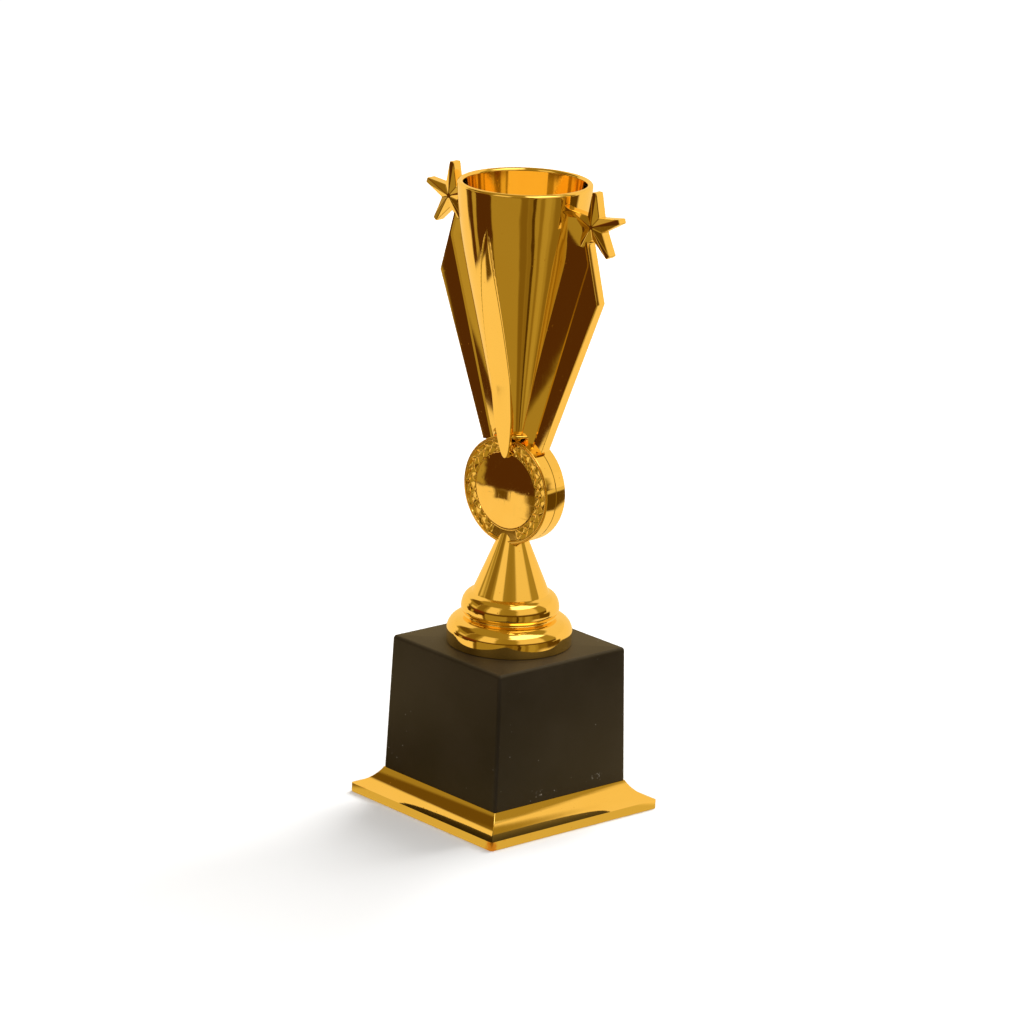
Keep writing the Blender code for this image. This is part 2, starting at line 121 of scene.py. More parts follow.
def skinned(name, points, rows_close=False, crease=32.0):
    """Object from a grid of points [row, column, xyz] in millimetres: four neighbours make a face.

    Columns close on themselves. Equal points are merged, which closes poles. Faces turn outward, and
    edges over the crease angle stay sharp.
    """
    rows, columns = points.shape[:2]
    row = np.arange(rows if rows_close else rows - 1)[:, None] * columns
    below = (row + columns) % (rows * columns)
    column = np.arange(columns)[None, :]
    right = (column + 1) % columns
    square = (row + column, row + right, below + right, below + column)
    faces = np.stack(np.broadcast_arrays(*square), axis=-1).reshape(-1, 4)
    mesh = bpy.data.meshes.new(name)
    mesh.from_pydata(points.reshape(-1, 3) * MM, [], faces)
    shape = bmesh.new()
    shape.from_mesh(mesh)
    bmesh.ops.remove_doubles(shape, verts=shape.verts, dist=0.002 * MM)
    bmesh.ops.recalc_face_normals(shape, faces=shape.faces)
    shape.to_mesh(mesh)
    shape.free()
    mesh.shade_smooth()
    mesh.set_sharp_from_angle(angle=math.radians(crease))
    piece = bpy.data.objects.new(name, mesh)
    bpy.context.scene.collection.objects.link(piece)
    return piece


class Signal:
    """A socket that takes part in sums: each operator adds one Math node."""

    def __init__(self, bench, socket):
        self.bench = bench
        self.socket = socket

    def maths(self, operation, *terms):
        return self.bench.node("Math", {"operation": operation}, dict(enumerate(terms)))

    def __add__(self, other):
        return self.maths("ADD", self, other)

    def __sub__(self, other):
        return self.maths("SUBTRACT", self, other)

    def __rsub__(self, other):
        return self.maths("SUBTRACT", other, self)

    def __mul__(self, other):
        return self.maths("MULTIPLY", self, other)

    def __truediv__(self, other):
        return self.maths("DIVIDE", self, other)

    def __pow__(self, other):
        return self.maths("POWER", self, other)

    __radd__ = __add__
    __rmul__ = __mul__

    def absolute(self):
        return self.maths("ABSOLUTE", self)

    def step(self, low, high):
        """0 below low, 1 above high, with a smooth ramp between; low may be the larger."""
        ends = {"Value": self, "From Min": low, "From Max": high}
        return self.bench.node("MapRange", {"interpolation_type": "SMOOTHSTEP"}, ends)


class Bench:
    """A node tree at work: `node` adds any node, and the rest are its commonest uses."""

    def __init__(self, tree):
        self.tree = tree

    def feed(self, socket, value):
        if isinstance(value, Signal):
            self.tree.links.new(value.socket, socket)
        else:
            socket.default_value = value

    def node(self, kind, settings, inputs, output=0):
        """A node of this type: settings first, then the values or links of its sockets."""
        node = self.tree.nodes.new("ShaderNode" + kind)
        for setting, value in settings.items():
            setattr(node, setting, value)
        for socket, value in inputs.items():
            self.feed(node.inputs[socket], value)
        return Signal(self, node.outputs[output])

    def place(self):
        return self.node("TexCoord", {}, {}, "Object")

    def axes(self, place):
        """The x, y and z of a vector."""
        first = self.node("SeparateXYZ", {}, {0: place})
        return [Signal(self, socket) for socket in first.socket.node.outputs]

    def stretched(self, place, factors):
        return self.node("VectorMath", {"operation": "MULTIPLY"}, {0: place, 1: factors})

    def cloud(self, place, scale, detail=2.0):
        """Noise between 0 and 1, with `scale` lumps to the metre."""
        return self.node("TexNoise", {}, {"Vector": place, "Scale": scale, "Detail": detail})

    def specks(self, place, scale, size):
        """Small dots, one at most to a cell: 1 at a dot's middle; size is a share of the cell."""
        near = self.node("TexVoronoi", {}, {"Vector": place, "Scale": scale}, "Distance")
        return near.step(size, size * 0.4)

    def blend(self, share, first, second):
        """The first colour where share is 0 and the second where it is 1."""
        return self.node("Mix", {"data_type": "RGBA"}, {0: share, 6: first, 7: second}, 2)

    def relief(self, height, depth, strength=1.0):
        """Bumps: height of 0 to 1 stands for depth metres."""
        return self.node("Bump", {}, {"Height": height, "Distance": depth, "Strength": strength})


def finish_named(name, **fixed):
    """A new material, its bench and its shader, with the values that hold all over it set on the shader."""
    material = bpy.data.materials.new(name)
    material.use_nodes = True
    shader = material.node_tree.nodes["Principled BSDF"]
    for socket, value in fixed.items():
        shader.inputs[socket.replace("_", " ")].default_value = value
    return material, Bench(material.node_tree), shader


GOLD = (1.0, 0.765, 0.275, 1.0)
GOLD_DEEP = (0.98, 0.72, 0.225, 1.0)
LACQUER = (0.86, 0.36, 0.05, 1.0)


def gilding(name, worn=None):
    """Plated and lacquered plastic: a soft ripple from the mould, wipe marks and pinholes of amber lacquer.

    worn, if given, makes a mask of places where the gold has rubbed thin down to the lacquer.
    """
    material, bench, shader = finish_named(name, Metallic=1.0)
    place = bench.place()
    drift = bench.cloud(place, 55.0)
    wipes = bench.cloud(bench.stretched(place, (1.0, 1.0, 0.12)), 900.0, 3.0)
    pinholes = bench.specks(place, 420.0, 0.11) * bench.cloud(place, 90.0).step(0.52, 0.62)
    hairline = bench.cloud(bench.stretched(place, (1.0, 0.6, 0.03)), 2600.0).step(0.66, 0.74)
    rubbed = pinholes * 0.7
    if worn is not None:
        rubbed = rubbed + worn(bench, place)
    gold = bench.blend(drift, GOLD_DEEP, GOLD)
    bench.feed(shader.inputs["Base Color"], bench.blend(rubbed, gold, LACQUER))
    roughness = 0.035 + wipes * 0.03 + drift * 0.02 + hairline * 0.06 + rubbed * 0.22
    bench.feed(shader.inputs["Roughness"], roughness)
    ripple = drift * 0.8 + bench.cloud(place, 260.0) * 0.10 - pinholes * 0.25
    bench.feed(shader.inputs["Normal"], bench.relief(ripple, 0.00005))
    return material


skirt_half, _, skirt_top = box_of("skirt_frame")[1]
plinth_foot_half, _, plinth_top = box_of("plinth_shell")[1]
lip_height = 3.4
skirt_wall = 2.0
flange_half = 26.0
cove_span = (skirt_half - plinth_foot_half, skirt_top - lip_height)
cove_turn = 48.0
cove_middle = 180.0 + math.degrees(math.atan2(cove_span[0], cove_span[1]))
cove_ends = (cove_middle - 0.5 * cove_turn, cove_middle + 0.5 * cove_turn)
# The cove is an arc from the plinth's foot to the lip: radius = chord / (2 * sine of half its turn).
cove_radius = 0.5 * math.hypot(*cove_span) / math.sin(math.radians(0.5 * cove_turn))
cove_centre = (
    plinth_foot_half - cove_radius * math.cos(math.radians(cove_ends[0])),
    skirt_top - cove_radius * math.sin(math.radians(cove_ends[0])),
)
cove_back = cove_radius + skirt_wall
skirt_profile = outline(
    (flange_half, skirt_top, 0.2),
    arc(cove_centre, (cove_radius, cove_radius), *cove_ends, 30),
    (skirt_half, lip_height, 0.5),
    (skirt_half, 0.0, 0.5),
    (skirt_half - skirt_wall, 0.0, 0.3),
    arc(cove_centre, (cove_back, cove_back), cove_ends[1] - 1.0, cove_ends[0] + 6.0),
    (flange_half, skirt_top - skirt_wall, 0.2),
)
# The skirt's four corners are sharp in plan up the cove and rounder on the lip.
on_lip = (skirt_profile[:, 0] - (skirt_half - 1.0)).clip(0.0, 1.0)
skirt_corner = 0.25 + on_lip


def corner_wear(bench, place):
    """Amber at the lip's front right corner and in short scuffs along its edge."""
    x, y, z = bench.axes(place)
    low = z.step(0.0044, 0.0022)
    torn = bench.cloud(place, 420.0, 4.0)
    corner = (x - y + (torn - 0.5) * 0.004).step(0.0752, 0.0778)
    scuffs = bench.cloud(bench.stretched(place, (0.35, 0.35, 1.0)), 320.0, 5.0).step(0.66, 0.70)
    return low * (corner * 0.9 + scuffs * 0.5)


gilt_skirt = gilding("gilt_skirt", corner_wear)
skirt = skinned("skirt_frame_gilt", squared(skirt_profile, skirt_corner), rows_close=True)
skirt.data.materials.append(gilt_skirt)
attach(skirt, "base")
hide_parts("skirt_frame")

# ---------------------------------------------------------------------------------------------------
# Plinth: the black block. A thin moulded shell with a little draft and softly rounded edges, open
# below and drilled on top for the rod. It is dull, dusty on top and scuffed low on one side.

plinth_top_half = plinth_foot_half - 1.26
plinth_wall = 2.2
plinth_edge = 1.3
rod_hole = 2.7
plinth_profile = outline(
    (rod_hole, plinth_top, 0.1),
    (plinth_top_half, plinth_top, plinth_edge),
    (plinth_foot_half, skirt_top, 0.2),
    (plinth_foot_half - plinth_wall, skirt_top, 0.2),
    (plinth_top_half - plinth_wall, plinth_top - plinth_wall, 0.8),
    (rod_hole, plinth_top - plinth_wall, 0.1),
)
side_share = (plinth_top - plinth_profile[:, 1]) / (plinth_top - skirt_top)
side_half = plinth_top_half + (plinth_foot_half - plinth_top_half) * side_share
plan_corner = np.clip(plinth_edge - (side_half - plinth_profile[:, 0]), 0.1, None)
# The rod's hole is round, so its corner radius is its half width.
plan_corner = np.where(plinth_profile[:, 0] < 4.0, plinth_profile[:, 0], plan_corner)

# Scuffs on the right side: distance to the rear, height and reach of each.
PLINTH_MARKS = ((-9.8, 13.6, 2.6), (17.0, 14.6, 3.2), (19.5, 13.4, 1.6), (-3.0, 13.0, 1.6))


def black_moulding():
    """Dull black plastic: fine spark-eroded grain, greyer where handled, with dust, lint, scuffs and painted
    light on the right face.
    """
    material, bench, shader = finish_named("black_moulding", Specular_IOR_Level=0.34)
    place = bench.place()
    x, y, z = bench.axes(place)
    handled = bench.cloud(place, 38.0, 5.0)
    dust = z.step((plinth_top - 0.9) * MM, plinth_top * MM) * (0.35 + handled * 0.5)
    lint = bench.specks(place, 300.0, 0.09) * bench.cloud(place, 60.0).step(0.5, 0.64)
    right_side = x.step(0.0285, 0.0295)
    torn = bench.cloud(place, 900.0, 5.0)
    marks = 0.0
    for across, up, reach in PLINTH_MARKS:
        away = ((y - across * MM) ** 2.0 + ((z - up * MM) * 1.8) ** 2.0) ** 0.5
        marks = marks + away.step(reach * MM, 0.2 * reach * MM)
    scuffed = right_side * marks * torn.step(0.56, 0.66)
    drag = bench.cloud(bench.stretched(place, (1.0, 1.0, 0.05)), 700.0, 3.0).step(0.62, 0.74)
    fresh, rubbed = (0.0075, 0.0045, 0.0022, 1.0), (0.0170, 0.0110, 0.0060, 1.0)
    colour = bench.blend(handled.step(0.3, 0.75), fresh, rubbed)
    # Painted light: the right face is made lighter and greyer, for the light that side catches.
    colour = bench.blend(right_side * handled * 0.45, colour, (0.024, 0.021, 0.014, 1.0))
    colour = bench.blend(dust * 0.13, colour, (0.20, 0.165, 0.11, 1.0))
    colour = bench.blend(lint * 0.55 + scuffed * 0.8, colour, (0.34, 0.32, 0.28, 1.0))
    bench.feed(shader.inputs["Base Color"], colour)
    bench.feed(shader.inputs["Roughness"], 0.38 + handled * 0.14 + dust * 0.12 - drag * 0.06)
    grain = bench.cloud(place, 3800.0, 2.0) * 0.5 + handled * 0.5 + lint * 0.6 - scuffed * 1.2
    bench.feed(shader.inputs["Normal"], bench.relief(grain, 0.00004, 0.55))
    return material


plinth = skinned("plinth_black", squared(plinth_profile, plan_corner, 9), rows_close=True, crease=40.0)
plinth.data.materials.append(black_moulding())
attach(plinth, "base")
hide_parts("plinth_shell")

# ---------------------------------------------------------------------------------------------------
# Ballast: cement poured into the plinth for weight, left rough, and the hardboard plate under it
# that the base nut pulls up against the skirt's flange. Both keep the frame's own solids.


def cement():
    """Cast cement: pale grey with sand, damp patches and air pores painted dark for the shade inside them."""
    material, bench, shader = finish_named("cement", Specular_IOR_Level=0.25)
    place = bench.place()
    sand = bench.cloud(place, 1400.0, 5.0)
    damp = bench.cloud(place, 60.0, 3.0)
    pores = bench.specks(place, 380.0, 0.22)
    colour = bench.blend(damp, (0.30, 0.285, 0.26, 1.0), (0.50, 0.48, 0.44, 1.0))
    colour = bench.blend(sand.step(0.55, 0.75) * 0.5, colour, (0.62, 0.57, 0.48, 1.0))
    # Painted shade: the air pores are darkened for the shade inside them.
    colour = bench.blend(pores * 0.7, colour, (0.12, 0.11, 0.10, 1.0))
    bench.feed(shader.inputs["Base Color"], colour)
    bench.feed(shader.inputs["Roughness"], 0.84 + sand * 0.12)
    bench.feed(shader.inputs["Normal"], bench.relief(sand - pores, 0.0003, 0.8))
    return material


def hardboard():
    """Pressed brown board: short felted fibres with a greasy, darker rub here and there."""
    material, bench, shader = finish_named("hardboard", Specular_IOR_Level=0.3)
    place = bench.place()
    fibres = bench.cloud(bench.stretched(place, (1.0, 0.22, 1.0)), 1500.0, 4.0)
    felt = bench.cloud(bench.stretched(place, (0.25, 1.0, 1.0)), 1100.0, 4.0)
    rub = bench.cloud(place, 50.0)
    colour = bench.blend(fibres * 0.6 + felt * 0.4, (0.085, 0.045, 0.022, 1.0), (0.30, 0.18, 0.095, 1.0))
    bench.feed(shader.inputs["Base Color"], bench.blend(rub * 0.4, colour, (0.10, 0.06, 0.035, 1.0)))
    bench.feed(shader.inputs["Roughness"], 0.62 + felt * 0.25)
    bench.feed(shader.inputs["Normal"], bench.relief(fibres + felt, 0.00012, 0.7))
    return material


for node, material in (("ballast_block", cement()), ("base_plate", hardboard())):
    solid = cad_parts[node]
    solid.data.materials.clear()
    solid.data.materials.append(material)

# ---------------------------------------------------------------------------------------------------
# Tie rod, washers and nuts: the zinc-plated hardware that clamps the trophy together. The rod is
# cut from threaded bar and runs from under the base, through riser and medal, into the cup.

# The column stands a little turned on the plinth: by the bearing of the line from star to star.
left_middle, right_middle = [np.mean(box_of(side + "_star"), axis=0) for side in ("left", "right")]
fin_line = right_middle - left_middle
column_turn = math.atan2(fin_line[1], fin_line[0])


def on_column(points):
    """Points of the column's frame, turned about the axis and lifted to the plinth's top."""
    x = points[..., 0] * math.cos(column_turn) - points[..., 1] * math.sin(column_turn)
    y = points[..., 0] * math.sin(column_turn) + points[..., 1] * math.cos(column_turn)
    return np.stack([x, y, points[..., 2] + plinth_top], axis=-1)


def turned(profile, steps=192):
    """Profile of (radius, height) rows carried round the axis: x, y = radius * (cosine, sine) of an angle."""
    angle = np.linspace(0.0, 2.0 * np.pi, steps, endpoint=False)
    radius, height = profile[:, :1], profile[:, 1:]
    return np.stack([radius * np.cos(angle), radius * np.sin(angle), height + 0.0 * angle], axis=-1)


def capped(points):
    """A run of rings with both its ends closed by the end rings' own middles."""
    middle = points.mean(axis=1, keepdims=True)
    ends = np.repeat(middle[[0, -1]], points.shape[1], axis=1)
    return np.concatenate([ends[:1], points, ends[1:]])


def zinc():
    """Bright zinc plating: cool grey with a faint straw tint, drawn marks along the part and dull spots."""
    material, bench, shader = finish_named("zinc_plating", Metallic=1.0)
    place = bench.place()
    tint = bench.cloud(place, 120.0, 3.0)
    drawn = bench.cloud(bench.stretched(place, (1.0, 1.0, 0.1)), 2400.0, 3.0)
    dull = bench.specks(place, 700.0, 0.3)
    colour = bench.blend(tint, (0.52, 0.52, 0.54, 1.0), (0.68, 0.64, 0.52, 1.0))
    bench.feed(shader.inputs["Base Color"], bench.blend(dull * 0.5, colour, (0.36, 0.35, 0.33, 1.0)))
    bench.feed(shader.inputs["Roughness"], 0.24 + drawn * 0.14 + dull * 0.2)
    bench.feed(shader.inputs["Normal"], bench.relief(drawn, 0.00002))
    return material


zinc_plating = zinc()
rod_low, rod_high = box_of("tie_rod")
rod_radius = 2.4
rod_end_taper = 0.8
rod_end_loss = 0.35
thread_pitch = 0.8
thread_depth = 0.42
rod_angle = np.linspace(0.0, 2.0 * np.pi, 28, endpoint=False)
rod_height = np.arange(rod_low[2], rod_high[2], thread_pitch / 6.0)[:, None]
# The thread is a triangle wave of the height, a pitch further on at each turn. The rod's ends taper.
thread = np.abs((rod_height / thread_pitch + rod_angle / (2.0 * np.pi)) % 1.0 - 0.5) * 2.0
from_end = np.minimum(rod_height - rod_low[2], rod_high[2] - rod_height).clip(0.0, rod_end_taper)
rod_edge = rod_radius - thread_depth * thread - rod_end_loss * (rod_end_taper - from_end)
rod_points = np.stack(
    [rod_edge * np.cos(rod_angle), rod_edge * np.sin(rod_angle), rod_height + 0.0 * rod_angle], axis=-1
)
rod = skinned("tie_rod_threaded", capped(rod_points), crease=60.0)


def washer(name, radius):
    """Flat ring round the rod, with its edges eased."""
    low, high = box_of(name)
    corners = ((rod_hole, high[2]), (radius, high[2]), (radius, low[2]), (rod_hole, low[2]))
    section = outline(*[(across, height, 0.2) for across, height in corners])
    return skinned(name + "_zinc", turned(section, 96), rows_close=True)


def hex_nut(name):
    """Six-sided nut: the side is flat / cosine of the angle from its middle, and a cone trims the corners."""
    low, high = box_of(name)
    flat = 4.0
    face = flat * 0.97
    mouth = 0.4
    bore = rod_radius - 0.1
    angle = np.linspace(0.0, 2.0 * np.pi, 96, endpoint=False) + column_turn
    side = flat / np.cos((angle - column_turn + np.pi / 6.0) % (np.pi / 3.0) - np.pi / 6.0)
    trim = (side - face) * math.tan(math.radians(30.0))
    rings = (
        (bore, low[2] + mouth),
        (bore + mouth, low[2]),
        (face, low[2]),
        (side, low[2] + trim),
        (side, high[2] - trim),
        (face, high[2]),
        (bore + mouth, high[2]),
        (bore, high[2] - mouth),
    )
    points = [
        np.stack([edge * np.cos(angle), edge * np.sin(angle), height + 0.0 * angle], axis=-1)
        for edge, height in rings
    ]
    return skinned(name + "_zinc", np.stack(points), rows_close=True, crease=25.0)


hardware = (
    (rod, "column", "tie_rod"),
    (washer("base_washer", 7.0), "base", "base_washer"),
    (hex_nut("base_nut"), "column", "base_nut"),
    (washer("cup_washer", 6.0), "column", "cup_washer"),
    (hex_nut("cup_nut"), "column", "cup_nut"),
)
for piece, body, node in hardware:
    piece.data.materials.append(zinc_plating)
    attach(piece, body)
    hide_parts(node)

# ---------------------------------------------------------------------------------------------------
# Riser: the turned foot of the column, moulded hollow and gilt. A plain band rounds over to a
# groove, a smaller bead sits on it, and a slim cone climbs on until it runs into the medal's rim.

gilt_column = gilding("gilt_column")
foot_radius = 22.65
foot_band = 4.6
groove = (17.0, 10.0)
bead_centre = (14.4, 13.2)
bead = (3.3, 3.2)
cone_foot = (14.0, 18.7)
cone_slope = 0.418
cone_top = 41.9
riser_wall = 2.0
cone_top_radius = cone_foot[0] - cone_slope * (cone_top - cone_foot[1])
riser_profile = outline(
    (rod_hole, cone_top, 0.0),
    (cone_top_radius, cone_top, 0.3),
    (cone_foot[0] - 0.45, cone_foot[1] + 0.9, 0.0),
    (cone_foot[0] - 0.12, cone_foot[1] + 0.25, 0.0),
    arc((cone_foot[0], bead_centre[1]), (bead_centre[0] + bead[0] - cone_foot[0], 5.5), 84.0, 0.0, 22),
    arc(bead_centre, bead, -8.0, -52.0, 10),
    (16.5, 10.15, 0.35),
    arc((groove[0], foot_band), (foot_radius - groove[0], groove[1] - foot_band), 84.0, 0.0, 26),
    (foot_radius, 0.0, 0.35),
    (foot_radius - riser_wall, 0.0, 0.2),
    (foot_radius - riser_wall, foot_band, 0.5),
    (groove[0] - riser_wall, groove[1] - riser_wall, 0.5),
    (cone_foot[0] - riser_wall, cone_foot[1] - riser_wall, 0.5),
    (rod_hole, 33.0, 0.5),
)
riser = skinned("riser_gilt", on_column(turned(riser_profile, 256)), rows_close=True)
riser.data.materials.append(gilt_column)
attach(riser, "column")
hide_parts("riser")

# ---------------------------------------------------------------------------------------------------
# Medal: a round gilt holder moulded in two halves that meet in a seam round the rim. Each face has a
# raised rim, a sunk ring with a laurel wreath in relief, and a recess that its foil-faced disc is glued in.

medal_centre = 57.25
medal_radius = 19.7
medal_half = 5.2
recess_radius = 14.0
recess_floor = 3.9
border_half = 4.75
wreath_floor = 4.5
wreath_rows = np.linspace(14.75, 18.1, 46)
medal_profile = outline(
    (recess_radius, recess_floor, 0.0),
    (recess_radius, border_half, 0.1),
    (recess_radius + 0.4, border_half, 0.1),
    (recess_radius + 0.6, wreath_floor, 0.05),
    np.column_stack([wreath_rows, 0.0 * wreath_rows + wreath_floor, 0.0 * wreath_rows]),
    (18.35, wreath_floor, 0.1),
    (18.55, medal_half, 0.15),
    (19.0, medal_half, 0.12),
    (19.1, medal_half - 0.5, 0.08),
    (19.35, medal_half - 0.5, 0.08),
    (19.5, medal_half - 0.12, 0.12),
    (medal_radius, medal_half - 0.4, 0.2),
    (medal_radius, 0.22, 0.0),
    (medal_radius - 0.22, 0.0, 0.0),
    (recess_radius, 0.0, 0.0),
)
# Rows of leaves: a radius, an offset along the stem as a share of the spacing, and a lean in degrees.
LEAF_ROWS = ((15.45, 0.0, -34.0), (17.45, 0.16, 32.0), (16.4, 0.55, 6.0))
leaf_spacing = 3.9
leaf_half_length = 2.5
leaf_half_width = 1.3
leaf_height = 0.95
stem_radius = 16.4


def laurel(radius, angle):
    """Height of the wreath: the highest of three rows of leaves, each a lens with a ridge down its middle.

    Along a leaf, t runs from -1 to 1. Its half width goes with a power of (1 - t squared), and its height
    falls off evenly from the ridge to the edge. The outer rows lean away from the stem.
    """
    from_foot = np.pi - np.abs((angle + 1.5 * np.pi) % (2.0 * np.pi) - np.pi)
    along = from_foot * stem_radius
    height = 0.0 * radius + 0.0 * angle
    for leaf_radius, offset, lean in LEAF_ROWS:
        lean = math.radians(lean)
        nearest = np.round(along / leaf_spacing - offset)
        for neighbour in (-1.0, 0.0, 1.0):
            forward = along - (nearest + neighbour + offset) * leaf_spacing
            outward = radius - leaf_radius
            length = (forward * math.cos(lean) + outward * math.sin(lean)) / leaf_half_length
            across = outward * math.cos(lean) - forward * math.sin(lean)
            taper = np.clip(1.0 - length**2, 0.0, None)
            half_width = leaf_half_width * taper**0.7 * (1.0 - 0.3 * length) + 1e-6
            ridge = np.clip(1.0 - np.abs(across) / half_width, 0.0, 1.0)
            height = np.maximum(height, leaf_height * ridge * taper**0.35 * (0.8 + 0.2 * length))
    ends = np.clip((math.radians(160.0) - from_foot) / 0.05, 0.0, 1.0)
    foot = np.clip((from_foot - math.radians(6.0)) / 0.05, 0.0, 1.0)
    return height * ends * foot


def medal_face(profile, facing, steps):
    """Profile of (radius, height) rows turned about the medal's own axis, with the leaves in its sunk ring.

    facing is -1 for the front face and 1 for the rear one.
    """
    angle = np.linspace(0.0, 2.0 * np.pi, steps, endpoint=False)
    radius = np.broadcast_to(profile[:, :1], (len(profile), steps))
    height = np.broadcast_to(profile[:, 1:], (len(profile), steps))
    in_wreath = (radius > 14.1) & (radius < 18.4) & (height > 4.3)
    height = height + np.where(in_wreath, laurel(radius, angle[None, :]), 0.0)
    x = radius * np.cos(angle)
    z = medal_centre + radius * np.sin(angle)
    return np.stack([x, facing * height, z], axis=-1)


disc_radius = 13.9
disc_dome = 1.1
disc_edge = 4.9
# A dome's sphere has the radius (half width squared + rise squared) / (twice the rise).
sphere = (disc_radius**2 + disc_dome**2) / (2.0 * disc_dome)
disc_rows = np.linspace(0.0, disc_radius - 0.15, 60)
dome = disc_edge + disc_dome - sphere + np.sqrt(sphere**2 - disc_rows**2)
disc_side = [(disc_radius, disc_edge - 0.12), (disc_radius, recess_floor), (0.0, recess_floor)]
disc_profile = np.concatenate([np.column_stack([disc_rows, dome]), disc_side])


def mirror_foil():
    """Gilt foil on the centre disc: near a mirror, with fingerprints, crossed hairlines and a few dents."""
    material, bench, shader = finish_named("mirror_foil", Metallic=1.0)
    place = bench.place()
    touched = bench.cloud(place, 160.0, 4.0)
    crossed = bench.cloud(bench.stretched(place, (0.9, 0.9, 0.06)), 1900.0).step(0.64, 0.72)
    level = bench.cloud(bench.stretched(place, (0.08, 0.08, 1.0)), 1700.0).step(0.66, 0.73)
    dents = bench.specks(place, 240.0, 0.14) * touched.step(0.5, 0.62)
    colour = bench.blend(touched, (0.98, 0.70, 0.22, 1.0), (1.0, 0.76, 0.28, 1.0))
    bench.feed(shader.inputs["Base Color"], bench.blend(dents * 0.5, colour, (1.0, 0.86, 0.48, 1.0)))
    bench.feed(shader.inputs["Roughness"], 0.03 + touched * 0.05 + (crossed + level) * 0.12 + dents * 0.15)
    marks = touched * 0.7 - (crossed + level) * 0.05 - dents * 0.4
    bench.feed(shader.inputs["Normal"], bench.relief(marks, 0.00004))
    return material


disc_foil = mirror_foil()
for side, facing in (("front", -1.0), ("rear", 1.0)):
    face = on_column(medal_face(medal_profile, facing, 760))
    half = skinned("medal_" + side + "_gilt", face, rows_close=True)
    half.data.materials.append(gilt_column)
    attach(half, "column")
    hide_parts("medal_" + side)
    disc = skinned("centre_disc_" + side + "_foil", on_column(medal_face(disc_profile, facing, 128)))
    disc.data.materials.append(disc_foil)
    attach(disc, "column")
    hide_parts("centre_disc_" + side)

# ---------------------------------------------------------------------------------------------------
# Cup: a tall gilt cone, moulded with a closed floor for the rod and a full round lip. Two flats run
# up its front and rear for the straps. It stands on a thin round seat whose neck saddles the medal.

cup_foot = 78.6
cup_floor = 95.0
cup_shoulder = 168.0
cup_narrow = (6.1, 78.0)
cup_bend = 133.0
cup_flare = 0.228
cup_easing = 0.00219
lip_wall = 2.2
foot_wall = 3.4


def cup_radius(height):
    """Outer radius: a straight cone, less an easing that grows with the square of the height over a bend."""
    cone = cup_narrow[0] + cup_flare * (height - cup_narrow[1])
    return cone - cup_easing * np.clip(height - cup_bend, 0.0, None) ** 2


# A strap: its heights, half width, the face's distance from the axis at the tip, its lean and its drift.
STRAP_TIP = 69.5
STRAP_BEND = 84.5
STRAP_END = 156.0
STRAP_HALF = 4.1
STRAP_FACE = 6.1
STRAP_LEAN = 0.125
STRAP_DRIFT = 2.4
# Its bed: the height over which it runs out, how far short it stops at one edge, and the slope beside it.
BED_RUN_OUT = 8.0
BED_SHORT = 0.35
BED_CLIMB = 1.2


def above_bend(height):
    """Share of the way up from a strap's bend to its top."""
    return ((height - STRAP_BEND) / (STRAP_END - STRAP_BEND)).clip(0.0, 1.0)


def strap_half_width(height):
    """Rounded tip over the medal, widest just above it, then a long taper to a point high on the cup."""
    low = ((height - STRAP_TIP) / (STRAP_BEND - STRAP_TIP)).clip(0.0, 1.0)
    high = above_bend(height)
    tapered = STRAP_HALF * (1.0 - high**3.0) + 3.0 * high * (1.0 - high)
    return np.where(height < STRAP_BEND, STRAP_HALF * low**0.42, tapered)


def strap_drift(height):
    """How far a strap's middle has strayed to its right: by the fourth power of the share over the bend."""
    return STRAP_DRIFT * above_bend(height) ** 4


def strap_face(height):
    """Distance of a strap's face from the axis: it leans out, then eases into lying flush with the cup.

    The easing is a rounded maximum: half of a + b + the root of ((a - b) squared + softness squared).
    """
    reach = strap_half_width(height) + strap_drift(height)
    flush = np.sqrt(np.clip(cup_radius(height) ** 2 - reach**2, 0.0, None))
    leaning = STRAP_FACE + STRAP_LEAN * (height - STRAP_TIP)
    softness = 0.12
    return 0.5 * (leaning + flush + np.sqrt((leaning - flush) ** 2 + softness**2))


def flattened(points, behind, wider):
    """Points moved in to a strap's bed, which lies `behind` its face and shows `wider` past one edge of it.

    Under the other edge it stops a little short. Beside the bed the limit on y climbs away steeply, and
    the bed comes up to nothing over its last few millimetres.
    """
    x, y, height = points[..., 0], points[..., 1], points[..., 2]
    across = -np.sign(y) * x - strap_drift(height)
    ending = ((STRAP_END - height) / BED_RUN_OUT).clip(0.0, 1.0)
    margin = np.where(across > 0.0, wider * ending, -BED_SHORT)
    beside = np.abs(across) - strap_half_width(height) - margin
    bed = strap_face(height) - behind * ending + BED_CLIMB * beside.clip(0.0, None)
    reached = (height > STRAP_TIP) & (height < STRAP_END)
    return np.stack([x, np.where(reached, np.clip(y, -bed, bed), y), height], axis=-1)


lip_radius = lip_wall / 2.0
lip_centre = (cup_radius(cup_shoulder) - lip_radius, cup_shoulder)
outer_rows = np.linspace(cup_foot + 0.4, cup_shoulder - 0.3, 150)
inner_rows = np.linspace(cup_shoulder - 0.5, cup_floor + 1.5, 60)
inner_share = (inner_rows - cup_floor) / (cup_shoulder - cup_floor)
inner_wall = foot_wall + (lip_wall - foot_wall) * inner_share
cup_profile = outline(
    (rod_hole, cup_floor, 0.1),
    (rod_hole, cup_foot, 0.1),
    (cup_radius(cup_foot), cup_foot, 0.2),
    np.column_stack([cup_radius(outer_rows), outer_rows, 0.0 * outer_rows]),
    arc(lip_centre, (lip_radius, lip_radius), 0.0, 180.0, 16),
    np.column_stack([cup_radius(inner_rows) - inner_wall, inner_rows, 0.0 * inner_rows]),
    (cup_radius(cup_floor) - foot_wall, cup_floor, 1.0),
)
cup_points = flattened(turned(cup_profile, 400), 0.12, 0.3)
cup = skinned("cup_gilt", on_column(cup_points), rows_close=True)

